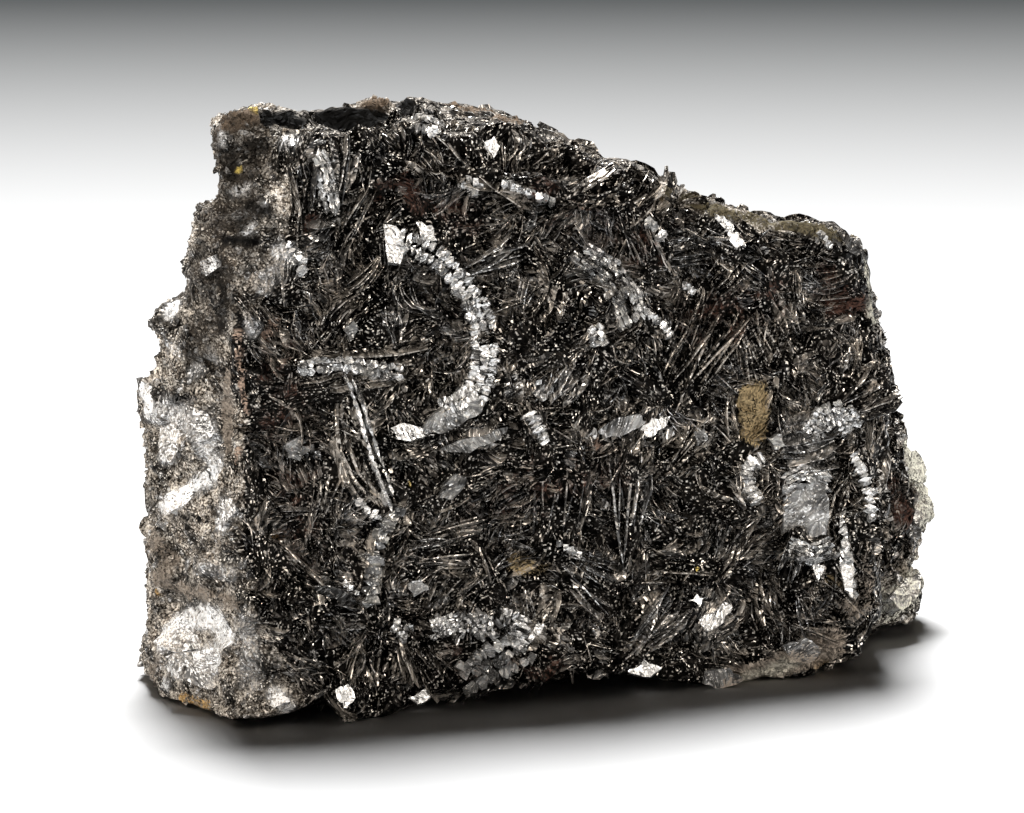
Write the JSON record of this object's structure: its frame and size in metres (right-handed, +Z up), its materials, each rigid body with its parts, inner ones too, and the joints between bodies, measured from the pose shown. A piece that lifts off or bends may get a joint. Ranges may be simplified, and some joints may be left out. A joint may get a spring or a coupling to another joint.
{
  "type": "manganite specimen",
  "caption": "Block of interlocking bladed manganite crystals, sheaves fused into one solid, with vugs in its top and a flat base to stand on.",
  "frame": {"origin": "middle of the base's bounding rectangle, on the plane that the specimen rests on", "axes": "+Z up, +X along the length, the bladed display face towards -Y"},
  "size_m": [0.1024, 0.0428, 0.0726],
  "materials": {
    "manganite": "iron-black bladed crystal with a submetallic shine, silvery cleavages and brown stains"
  },
  "bodies": {
    "root": {"manganite": "manganite"}
  },
  "joints": []
}
